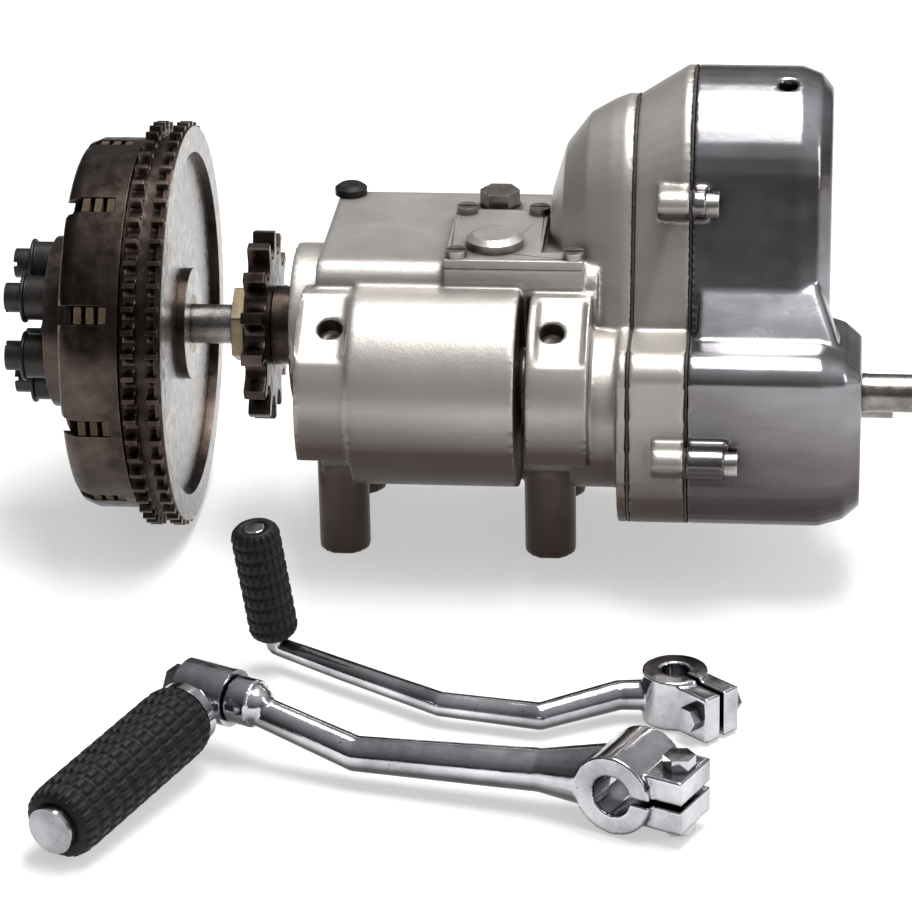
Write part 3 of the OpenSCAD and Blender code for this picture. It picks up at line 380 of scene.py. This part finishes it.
def place(obj, nodes, body, slot, material):
    """Gives a new piece its finish and its body, and hides the CAD nodes it stands for."""
    obj.data.materials.clear()
    obj.data.materials.append(material)
    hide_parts(*nodes)
    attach(obj, body)
    return obj


def applied(obj):
    """The object with its modifiers made part of its mesh."""
    graph = bpy.context.evaluated_depsgraph_get()
    mesh = bpy.data.meshes.new_from_object(obj.evaluated_get(graph))
    obj.modifiers.clear()
    obj.data = mesh
    return obj


def softened(node, name, voxel, passes, keep, materials):
    """A copy of a CAD solid with every edge and corner rounded, as a casting or forging has."""
    obj = bpy.data.objects.new(name, NODES[node].data.copy())
    SCENE.collection.objects.link(obj)
    weld = obj.modifiers.new("weld", "WELD")
    weld.merge_threshold = 1e-6
    remesh = obj.modifiers.new("remesh", "REMESH")
    remesh.mode, remesh.voxel_size = "VOXEL", voxel
    remesh.use_smooth_shade = True
    smooth = obj.modifiers.new("smooth", "SMOOTH")
    smooth.factor, smooth.iterations = 0.5, passes
    thin = obj.modifiers.new("thin", "DECIMATE")
    thin.ratio = keep
    applied(obj)
    return place(obj, [node], BODY_OF[node], SLOT_OF[node], materials[SLOT_OF[node]])


def broken_edges(node, width, angle=35):
    """Keeps a CAD node and breaks its sharp edges."""
    obj = NODES[node]
    weld = obj.modifiers.new("weld", "WELD")
    weld.merge_threshold = 1e-6
    bevel = obj.modifiers.new("bevel", "BEVEL")
    bevel.width, bevel.segments = width, 2
    bevel.limit_method, bevel.angle_limit = "ANGLE", math.radians(angle)
    bevel.use_clamp_overlap = True
    shade = obj.modifiers.new("shade", "WEIGHTED_NORMAL")
    shade.weight = 80


def axis_of(node):
    """(start, end) of a long round node, along the line through its vertices."""
    points = np.array([v.co for v in NODES[node].data.vertices])
    middle = points.mean(0)
    line = np.linalg.svd(points - middle, full_matrices=False)[2][0]
    along = (points - middle) @ line
    return Vector(middle + line * along.min()), Vector(middle + line * along.max())


def sleeve(name, start, end, radius, bore, rings, ribs, depth, node, materials):
    """A rubber sleeve from start to end: ring grooves, and long grooves between its ribs."""
    steps_x, steps_a = rings * 12, ribs * 8
    length = (end - start).length
    ahead = (end - start).normalized()
    turn = Vector((1, 0, 0)).rotation_difference(ahead).to_matrix()
    mesh = bmesh.new()

    def bump_height(u, a):
        ring = 0.5 - 0.5 * math.cos(2 * math.pi * (u * rings))
        rib = 0.5 - 0.5 * math.cos(ribs * a)
        tread = min(1, 2.6 * ring) * min(1, 2.8 * rib)
        crown = min(1, 14 * u, 14 * (1 - u))
        return radius - depth * (1 - tread) - 1.2 * MM * (1 - crown)

    rows = []
    for i in range(steps_x + 1):
        u = i / steps_x
        row = []
        for k in range(steps_a):
            a = 2 * math.pi * k / steps_a
            r = bump_height(u, a)
            point = Vector((u * length, r * math.cos(a), r * math.sin(a)))
            row.append(mesh.verts.new(start + turn @ point))
        rows.append(row)
    for end_u, rise in ((0, 0.0), (1, length)):
        row = [mesh.verts.new(start + turn @ Vector((rise, bore * math.cos(a), bore * math.sin(a))))
               for a in (2 * math.pi * k / steps_a for k in range(steps_a))]
        if end_u:
            rows.append(row)
        else:
            rows.insert(0, row)
    rows.append(rows[0])
    for lower, upper in zip(rows, rows[1:]):
        for k in range(steps_a):
            n = (k + 1) % steps_a
            mesh.faces.new((lower[k], upper[k], upper[n], lower[n]))
    bmesh.ops.recalc_face_normals(mesh, faces=mesh.faces)
    data = bpy.data.meshes.new(name)
    mesh.to_mesh(data)
    mesh.free()
    data.shade_smooth()
    obj = bpy.data.objects.new(name, data)
    SCENE.collection.objects.link(obj)
    return place(obj, [node], BODY_OF[node], SLOT_OF[node], materials[SLOT_OF[node]])


def build(materials):
    for node, obj in NODES.items():
        obj.data.materials.clear()
        obj.data.materials.append(materials[SLOT_OF[node]])
    softened("gearbox_shell", "gearbox_casting", 1.0 * MM, 6, 0.5, materials)
    softened("inner_cover", "middle_casting", 1.0 * MM, 3, 0.5, materials)
    softened("outer_cover", "end_cover_casting", 0.9 * MM, 5, 0.5, materials)
    softened("kick_lever", "kick_lever_forging", 0.6 * MM, 5, 0.5, materials)
    softened("gear_lever", "gear_lever_forging", 0.5 * MM, 5, 0.5, materials)
    start, end = axis_of("kick_pedal_rubber")
    sleeve("kick_rubber_sleeve", start, end, 15 * MM, 7.2 * MM, 11, 24, 1.3 * MM, "kick_pedal_rubber", materials)
    start, end = axis_of("gear_lever_rubber")
    sleeve("gear_rubber_sleeve", start, end, 10 * MM, 4.6 * MM, 9, 20, 1.0 * MM, "gear_lever_rubber", materials)
    for node, width in (("clutch_drum", 0.4), ("pressure_plate", 0.6), ("clutch_hub", 0.5),
                        ("spring_cups", 0.5), ("spring_nuts", 0.5), ("friction_plates", 0.3),
                        ("steel_plates", 0.2), ("final_sprocket", 0.6), ("sprocket_nut", 0.7),
                        ("hub_nut", 0.5), ("spring_studs", 0.3), ("inspection_cover", 0.8),
                        ("inspection_screws", 0.4), ("cover_screws", 0.5), ("filler_plug", 0.5),
                        ("top_plug", 0.6), ("drain_plug", 0.5), ("breather_cap", 0.5),
                        ("kick_shaft", 0.8), ("gear_spindle", 0.6), ("kick_lever_bolt", 0.5),
                        ("pedal_pivot_pin", 0.5), ("kick_pedal", 0.6), ("gear_lever_bolt", 0.4),
                        ("oil_seal", 0.5), ("sleeve_gear", 0.4), ("mainshaft", 0.5),
                        ("shell_gasket", 0.15), ("cover_gasket", 0.15), ("drum_bush", 0.3)):
        broken_edges(node, width * MM)


make_camera()
make_light()
make_floor()
build(make_materials())
